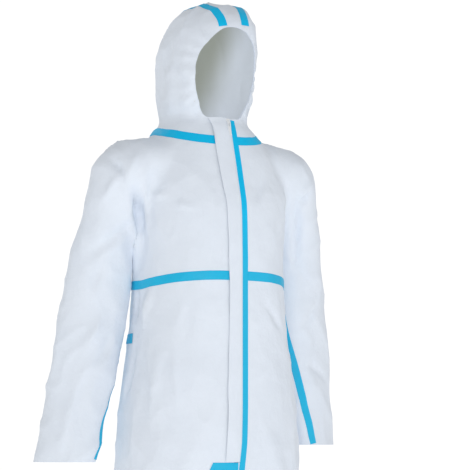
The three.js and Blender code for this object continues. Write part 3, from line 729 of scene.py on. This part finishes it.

# Painted shade and light: the grey and its gradient stand in for the shade inside the hood, and the emission
# makes the inner face glow as painted light.
inside_shade_paint = Paint("hood_lining", Roughness=0.9, Emission_Strength=0.56)
sweep = inside_shade_paint.place("X") * 0.8 - inside_shade_paint.place("Y") * 0.5 - inside_shade_paint.place("Z") * 0.35
shade = inside_shade_paint.node("ShaderNodeMapRange", {"interpolation_type": "SMOOTHSTEP"},
                    {"Value": sweep, "From Min": -0.078, "From Max": 0.002})
# Painted shade: dark on the suit's right and pale on its left, fed to both the colour and the glow.
grey = inside_shade_paint.mix(shade, (0.275, 0.292, 0.263), (0.527, 0.565, 0.631))
inside_shade_paint.coat("Base Color", grey)
inside_shade_paint.coat("Emission Color", grey)
inside_shade_paint.emboss((inside_shade_paint.noise(30, 3), 0.003, 0.3), (inside_shade_paint.noise(800, 2), 0.0003, 0.3))
hood_lining = piece("hood_lining", panel_mesh("hood_lining", (label == "crown") | (label == "hood"),
                                              -0.0015, True),
                    inside_shade_paint.material)
follow(hood_lining, "hood")

# ---- Seam tapes: blue film tape welded over the stitching ----------------------------------------
# Every seam that is sewn is covered by a strip of thin blue film, pressed on with heat so that its edges
# vanish into the cloth. It goes round the neck and the chest, over the hood, under the arms and down the
# inside of each leg.
skin_mm = cloth_points / MM


class Cloth:
    """Part of the skin to lay strips on."""

    def __init__(self, chosen):
        self.faces = [cloth_faces[k] for k in np.nonzero(chosen)[0]]
        self.tree = BVHTree.FromPolygons(skin_mm.tolist(), self.faces)

    def lay(self, point):
        """The nearest place on the cloth, and the way out there."""
        place, _, face, _ = self.tree.find_nearest(Vector(point))
        corners = self.faces[face]
        pull = 1 / (np.linalg.norm(skin_mm[corners] - np.array(place), axis=1) + 0.3)
        out = (cloth_out[corners] * pull[:, None]).sum(0)
        return np.array(place), out / np.linalg.norm(out)

    def shoot(self, start, direction):
        hit = self.tree.ray_cast(Vector(start), Vector(direction))[0]
        return None if hit is None else np.array(hit)

    def ring(self, centre, height, turns):
        """A line round the cloth, seen from a centre line, at a height that may depend on the depth."""
        line = []
        for turn in np.radians(turns):
            z = height(0)
            for _ in range(5):
                hit = self.shoot((*centre, z), (math.cos(turn), math.sin(turn), 0))
                if hit is None:
                    break
                z = height(hit[1])
            if hit is not None:
                line.append(hit)
        return np.array(line)


trunk_cloth = Cloth(~arm & (z > -1000))
hood_cloth = Cloth(z > -40)
sleeve_cloth = {side: Cloth(arm & (left == (k > 0))) for side, k in sides.items()}
leg_cloth = {side: Cloth((z < -850) & (left == (k > 0))) for side, k in sides.items()}


def spaced(line, gap):
    """The same line with even steps of about gap."""
    line = np.array(line, float)
    reach = np.concatenate([[0], np.cumsum(np.linalg.norm(np.diff(line, axis=0), axis=1))])
    even = np.linspace(0, reach[-1], max(2, round(reach[-1] / gap) + 1))
    return np.stack([np.interp(even, reach, line[:, k]) for k in range(3)], 1)


def strip(cloth, line, profile, gap=5, closed=False):
    """A ribbon laid along a line on the cloth. The profile lists (distance across, height above it)."""
    line = np.array(line, float) if gap is None else spaced(line, gap)
    laid = [cloth.lay(p) for p in line]
    base, out = np.array([p for p, _ in laid]), np.array([n for _, n in laid])
    if closed:
        tangent = np.roll(base, -1, 0) - np.roll(base, 1, 0)
    else:
        tangent = np.gradient(base, axis=0)
    across = np.cross(out, tangent)
    across /= np.linalg.norm(across, axis=1)[:, None]
    for _ in range(2):
        across[1:-1] = (across[:-2] + 2 * across[1:-1] + across[2:]) / 4
    points, normals = [], []
    for p, sideways in zip(base, across):
        for distance, height in profile:
            place, way = cloth.lay(p + sideways * distance)
            points.append(place + way * height)
            normals.append(way)
    wide, rows = len(profile), len(base)
    faces = [(r * wide + k, r * wide + k + 1, (r + 1) % rows * wide + k + 1, (r + 1) % rows * wide + k)
             for r in range(rows if closed else rows - 1) for k in range(wide - 1)]
    return np.array(points), faces, np.array(normals)


def ribbon_mesh(name, points, faces, normals=None):
    mesh = bpy.data.meshes.new(name)
    mesh.from_pydata((points * MM).tolist(), [], faces)
    mesh.polygons.foreach_set("use_smooth", [True] * len(mesh.polygons))
    if normals is not None:
        lean = np.array([p.normal for p in mesh.polygons])
        first = np.array([f[0] for f in faces])
        if (lean * normals[first]).sum() < 0:
            mesh.flip_normals()
        mesh.normals_split_custom_set_from_vertices(normals.tolist())
    return mesh


TAPE_LIFT, TAPE_EDGE = 0.7, 0.12


def flat(width):
    half, lift = width / 2, TAPE_LIFT
    return [(-half, TAPE_EDGE), (-half + 0.7, lift), (-half / 2, lift), (0, lift),
            (half / 2, lift), (half - 0.7, lift), (half, TAPE_EDGE)]


tape_paint = Paint("seam_tape", IOR=1.3)
streak = tape_paint.noise(16, 3)
weld = tape_paint.noise(160, 2)
# Painted light: the blue is brighter above the upper chest and duller below the chest seam, a height
# gradient standing in for how the light falls on the suit.
height_z = tape_paint.place("Z")
painted_light_by_height = tape_paint.node("ShaderNodeMapRange", {"interpolation_type": "SMOOTHSTEP"},
                        {"Value": height_z, "From Min": -0.12, "From Max": -0.33})
blue = tape_paint.mix(painted_light_by_height, (0.0, 0.56, 0.93), (0.025, 0.51, 0.79))
tape_paint.coat("Base Color", tape_paint.mix(streak * 0.5 + weld * 0.2 - 0.1, blue, (0.0, 0.43, 0.74)))
tape_paint.coat("Roughness", 0.36 + weld * 0.18)
tape_paint.emboss((tape_paint.noise(60, 3), 0.0015, 0.35),
                  (tape_paint.node("ShaderNodeTexVoronoi", {}, {"Vector": tape_paint.place(), "Scale": 700},
                                   out="Distance"), 0.0002, 0.2))
seam_tape = tape_paint.material
TAPE = 18


def tape(name, cloth, line, width, nodes, part="torso", side=None, **more):
    points, faces, normals = strip(cloth, line, flat(width), **more)
    return follow(piece(name, ribbon_mesh(name, points, faces, normals), seam_tape, nodes),
                  part)


neck_line = trunk_cloth.ring((0, 5), lambda y: neck_height(y) - 1, np.arange(-90, 270.1, 2))
def in_front(line):
    return line[:, 1] < -60


tape("neck_tape", trunk_cloth, neck_line[(neck_line[:, 0] < -17) | (neck_line[:, 0] > 10)
                                         | ~in_front(neck_line)], 18.5,
     ["neck_tape_left", "neck_tape_right", "neck_tape_back"])
chest_line = trunk_cloth.ring((0, 5), chest_height, np.arange(-90, 270.1, 2))
tape("chest_tape", trunk_cloth, chest_line[(chest_line[:, 0] < -15) | (chest_line[:, 0] > 19)
                                           | ~in_front(chest_line)], TAPE,
     ["chest_tape_left", "chest_tape_right", "chest_tape_back"])
waist_line = trunk_cloth.ring((0, 5), lambda y: -406, np.arange(-2, 182.1, 1.5))
tape("waist_tape", trunk_cloth, waist_line, 20, ["waist_tape"], gap=2)

for side, k in sides.items():
    line = []
    for turn in np.arange(143, -47, -3):
        half = 20
        for _ in range(4):
            hit = hood_cloth.shoot((k * half, -15, 120),
                                   (0, math.cos(math.radians(turn)), math.sin(math.radians(turn))))
            if hit is None:
                break
            half = float(crown_half(hit[None])[0])
        if hit is not None:
            line.append(hit)
    tape(f"hood_{side}_seam_tape_strip", hood_cloth, line, 17.5, [f"hood_{side}_seam_tape"], "hood")

    lean = lambda z0: np.interp(z0, [-650, -600, -450, -300, -215], [0.75, 0.72, 0.6, 0.3, 0] if k > 0
                                else [0.12, -0.02, -0.3, -0.4, -0.4])
    seam = np.array([sleeve_ring(s, np.array([math.pi + lean(s[2])]), k)[0] for s in refine(SLEEVE, 4)
                     if -700 < s[2] < -212])
    seam = spaced([sleeve_cloth[side].lay(p)[0] for p in seam], 5)
    end = CUFFS[k] + 1
    seam = seam[(seam[:, 2] > end) & (seam[:, 2] < -232)]
    split = int(np.argmin(np.abs(seam[:, 2] + 345)))
    tape(f"{side}_upper_sleeve_tape_strip", sleeve_cloth[side], seam[:split + 1], 16,
         [f"{side}_upper_sleeve_tape"], "upper_sleeve", side, gap=None)
    tape(f"{side}_forearm_tape_strip", sleeve_cloth[side], seam[split:], 16, [f"{side}_forearm_tape"],
         "forearm", side, gap=None)

    inside = [(k * (x0 - a), y0, z0) for z0, x0, y0, a, b in refine(LEG, 4) if -1520 < z0 < -892]
    inside = spaced([leg_cloth[side].lay(p)[0] for p in inside], 5)
    inside = inside[inside[:, 2] > HEM]
    split = int(np.argmin(np.abs(inside[:, 2] + 1043)))
    tape(f"{side}_thigh_tape_strip", leg_cloth[side], inside[:split + 1], TAPE, [f"{side}_thigh_tape"],
         "thigh", side, gap=None)
    tape(f"{side}_shin_tape_strip", leg_cloth[side], inside[split:], TAPE, [f"{side}_shin_tape"], "shin",
         side, gap=None)

rise = [(0, -300, zz) for zz in np.arange(-668, -872, -5.0)]
rise = [trunk_cloth.shoot(p, (0, 1, 0)) for p in rise]
tape("crotch_tape_front_strip", trunk_cloth, [p for p in rise if p is not None], 11, ["crotch_tape_front"])
rise = [trunk_cloth.shoot((0, 300, zz), (0, -1, 0)) for zz in np.arange(-440, -872, -6.0)]
tape("crotch_tape_back_strip", trunk_cloth, [p for p in rise if p is not None], 14, ["crotch_tape_back"])

# ---- Front zip, under the flap -------------------------------------------------------------------
# A closed coil zip sewn behind the slit in the front. Two woven tapes carry the coil, and the slider sits
# under the chin with its tab hanging down.
woven = Paint("zip_tape_weave", Roughness=0.8)
rib = woven.node("ShaderNodeTexWave", {"bands_direction": "Z"},
                 {"Vector": woven.place(), "Scale": 260, "Distortion": 0.6})
woven.coat("Base Color", woven.mix(rib * 0.6 + woven.noise(90) * 0.3, (0.80, 0.83, 0.87),
                                   (0.60, 0.64, 0.70)))
woven.emboss((rib, 0.0004, 0.6))
for side, k in sides.items():
    line = [trunk_cloth.shoot((k * 9.4, -400, zz), (0, 1, 0)) for zz in np.arange(28, -656, -6.0)]
    points, faces, normals = strip(trunk_cloth, line, [(-7.4, -1.2), (0, -1.2), (7.4, -1.2)])
    follow(piece(f"zip_tape_{side}_cloth", ribbon_mesh("zip", points, faces, normals), woven.material,
                 [f"zip_tape_{side}"]), "torso")

moulded = Paint("zip_plastic_moulded", IOR=1.49)
fleck = moulded.noise(300, 3)
moulded.coat("Base Color", moulded.mix(fleck, (0.84, 0.86, 0.88), (0.70, 0.73, 0.77)))
moulded.coat("Roughness", 0.3 + fleck * 0.15)
turns = moulded.node("ShaderNodeTexWave", {"bands_direction": "Z"},
                     {"Vector": moulded.place(), "Scale": 110, "Distortion": 0.2})
moulded.emboss((turns, 0.0012, 0.8), (fleck, 0.0002, 0.2))
plain = Paint("zip_plastic_plain", IOR=1.49)
fleck = plain.noise(300, 3)
plain.coat("Base Color", plain.mix(fleck, (0.86, 0.88, 0.90), (0.74, 0.77, 0.80)))
plain.coat("Roughness", 0.28 + fleck * 0.15)
plain.emboss((fleck, 0.0002, 0.25))
for name in ("zip_coil", "zip_bottom_stop", "zip_slider", "zip_pull_tab"):
    node = bpy.data.objects[name]
    node.data.materials.clear()
    node.data.materials.append(moulded.material if name == "zip_coil" else plain.material)

# ---- Storm flap and chin flap --------------------------------------------------------------------
# A doubled strip of the laminate covers the zip. It is sewn along one edge under a blue tape and stuck
# down along the other with a strip of adhesive. The chin length opens first; a short tape patch holds the
# lower end.
def sewn_edge(z0):
    return np.interp(z0, [-660, -610, -540, -260, -216, -144, -96, -50, -27, 0, 26],
                     [4, 8, 9.3, 9.3, 8.8, 8, 7.2, 6.4, 6, 6, 6])


def free_edge(z0):
    return np.interp(z0, [-650, -560, -430, -300, -216, -144, -96, -46, -17, 0, 14, 28],
                     [-25, -22, -19.5, -18.4, -20.5, -24, -28.5, -31.5, -31.5, -31.5, -34,
                      -39]) + 0.5 * np.sin(z0 / 34) + 0.3 * np.sin(z0 / 13)


def flap_mesh(name, top, bottom):
    shares = [0, 0.03, 0.2, 0.4, 0.6, 0.8, 0.93, 1]
    lifts = [3.0, 3.4, 3.6, 4.4, 4.9, 4.4, 2.9, 1.0]
    heights = np.linspace(top, bottom, round((top - bottom) / 6) + 1)
    upper, lower, ways = [], [], []
    for z0 in heights:
        a, b = free_edge(z0), sewn_edge(z0)
        for share, lift in zip(shares, lifts):
            x0 = a + share * (b - a)
            hit = trunk_cloth.shoot((x0, -400, z0), (0, 1, 0))
            place, way = trunk_cloth.lay(hit)
            lift *= np.interp(z0, [-190, -150],
                              [1, 1.13]) + 0.75 * math.exp(-((z0 - 2) / 24) ** 2) * math.sin(math.pi
                                      * min(1, share + 0.08))
            slack = 1 + 0.12 * math.sin(z0 / 41 + 2) * (1 - share) + 0.1 * math.sin(z0 / 19) * (1 - share)
            upper.append(hit + way * lift * slack)
            lower.append(hit + way * max(lift * slack - 0.9, 0.1))
            ways.append(way)
    wide, rows = len(shares), len(heights)
    points = np.array(upper + lower)
    count = wide * rows
    faces = []
    for r in range(rows - 1):
        for c in range(wide - 1):
            a = r * wide + c
            faces += [(a, a + wide, a + wide + 1, a + 1),
                      (count + a, count + a + 1, count + a + wide + 1, count + a + wide)]
        a, b = r * wide, r * wide + wide - 1
        faces += [(a, count + a, count + a + wide, a + wide), (b, b + wide, count + b + wide, count + b)]
    for c in range(wide - 1):
        a, b = c, (rows - 1) * wide + c
        faces += [(a, a + 1, count + a + 1, count + a)] if top > 0 else [(b, count + b, count + b + 1, b
                + 1)]
    mesh = bpy.data.meshes.new(name)
    mesh.from_pydata((points * MM).tolist(), [], faces)
    mesh.polygons.foreach_set("use_smooth", [True] * len(mesh.polygons))
    mesh.set_sharp_from_angle(angle=math.radians(45))
    return mesh


CHIN_SPLIT = -150
glue = Paint("adhesive_strip", IOR=1.5)
shine = glue.noise(70, 2)
glue.coat("Base Color", glue.mix(shine, (0.86, 0.86, 0.80), (0.76, 0.76, 0.70)))
glue.coat("Roughness", 0.22 + shine * 0.2)
glue.emboss((glue.noise(240, 3), 0.0004, 0.3))
for name, top, bottom in (("chin_flap", 27, CHIN_SPLIT), ("storm_flap", CHIN_SPLIT, -647)):
    made = piece(f"{name}_cloth", flap_mesh(name, top, bottom), white_laminate, [name])
    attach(made, name)
    line = [trunk_cloth.shoot((free_edge(z0) + 5, -400, z0), (0, 1, 0))
            for z0 in np.arange(top - 18, bottom + 3, -6)]
    points, faces, normals = strip(trunk_cloth, line, [(-2.6, 1.9), (-2.2, 2.1), (2.2, 2.1), (2.6, 1.9)])
    made = piece(f"{name}_adhesive_strip", ribbon_mesh(name, points, faces, normals), glue.material,
                 [f"{name}_adhesive"])
    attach(made, name)

band_line = []
for z0 in np.arange(24, -668, -5.0):
    band_line.append(trunk_cloth.shoot((sewn_edge(z0) + 6, -400, z0), (0, 1, 0)))
tape("flap_seam_tape_strip", trunk_cloth, band_line, 12.6, ["flap_seam_tape"])
patch_line = [trunk_cloth.shoot((x0, -400, ZIP_BOTTOM - 9), (0, 1, 0)) for x0 in np.arange(-53, 7, 5.0)]
points, faces, normals = strip(trunk_cloth, patch_line, flat(18))
points[:7, 0] += 0.45 * (points[:7, 2] - points[0, 2]) * np.sign(points[6, 2] - points[0, 2]) - 4
follow(piece("flap_end_tape_strip", ribbon_mesh("patch", points, faces, normals), seam_tape,
             ["flap_end_tape"]), "torso")

# ---- Hems and elastics ---------------------------------------------------------------------------
# The cuffs, the ankles and the face opening are turned in once over a flat elastic. The waist has its
# elastic at the back only, under the tape.
stretch = Paint("elastic_band", Roughness=0.75)
ribs = stretch.node("ShaderNodeTexWave", {"bands_direction": "DIAGONAL"},
                    {"Vector": stretch.place(), "Scale": 180, "Distortion": 1.0})
stretch.coat("Base Color", stretch.mix(ribs * 0.5 + stretch.noise(60) * 0.3, (0.82, 0.84, 0.87),
                                       (0.66, 0.69, 0.73)))
stretch.emboss((ribs, 0.0006, 0.6))


def edging(name, cloth, line, nodes, part, width=16, band=10):
    """The turned-in hem along an edge, and the elastic inside it."""
    hem = [(0, 0.25), (0.15, -0.5), (1.2, -1.5), (width / 2, -1.6), (width, -1.5), (width, -0.2)]
    points, faces, normals = strip(cloth, line, hem, gap=None, closed=True)
    mesh = ribbon_mesh(name, points, faces)
    made = piece(f"{name}_hem", mesh, white_laminate)
    follow(made, part)
    inner = [(width / 2 - band / 2, -0.9), (width / 2 + band / 2, -0.9)]
    points, faces, normals = strip(cloth, line, inner, gap=None, closed=True)
    follow(piece(f"{name}_elastic_band", ribbon_mesh(name, points, faces, normals), stretch.material,
                 nodes), part)


for side, k in sides.items():
    level_x, level_y = (np.interp(-CUFFS[k], [-s[2] for s in SLEEVE[5:]], [s[axis] for s in SLEEVE[5:]])
                        for axis in (0, 1))
    ring = sleeve_cloth[side].ring((k * level_x, level_y), lambda y: CUFFS[k] + 0.5, np.arange(0, 360, 4))
    edging(f"{side}_cuff", sleeve_cloth[side], ring, [f"{side}_cuff_elastic"], "forearm")
    ring = leg_cloth[side].ring((k * 117, -36), lambda y: HEM + 0.5, np.arange(0, 360, 3))
    edging(f"{side}_ankle", leg_cloth[side], ring, [f"{side}_ankle_elastic"], "shin")

face_edge = []
for x0, z0 in spaced([(x, 0, zz) for x, zz in face_line] + [(face_line[0][0], 0, face_line[0][1])],
                     5)[:-1][:, (0, 2)]:
    hit = hood_cloth.shoot((x0, -300, z0), (0, 1, 0))
    face_edge.append(hit)
edging("face_opening", hood_cloth, face_edge, ["face_opening_elastic"], "hood", width=14, band=8)
points, faces, normals = strip(trunk_cloth, waist_line, [(-7, -1.2), (7, -1.2)])
follow(piece("waist_elastic_band", ribbon_mesh("waist", points, faces, normals), stretch.material,
             ["waist_elastic"]), "torso")
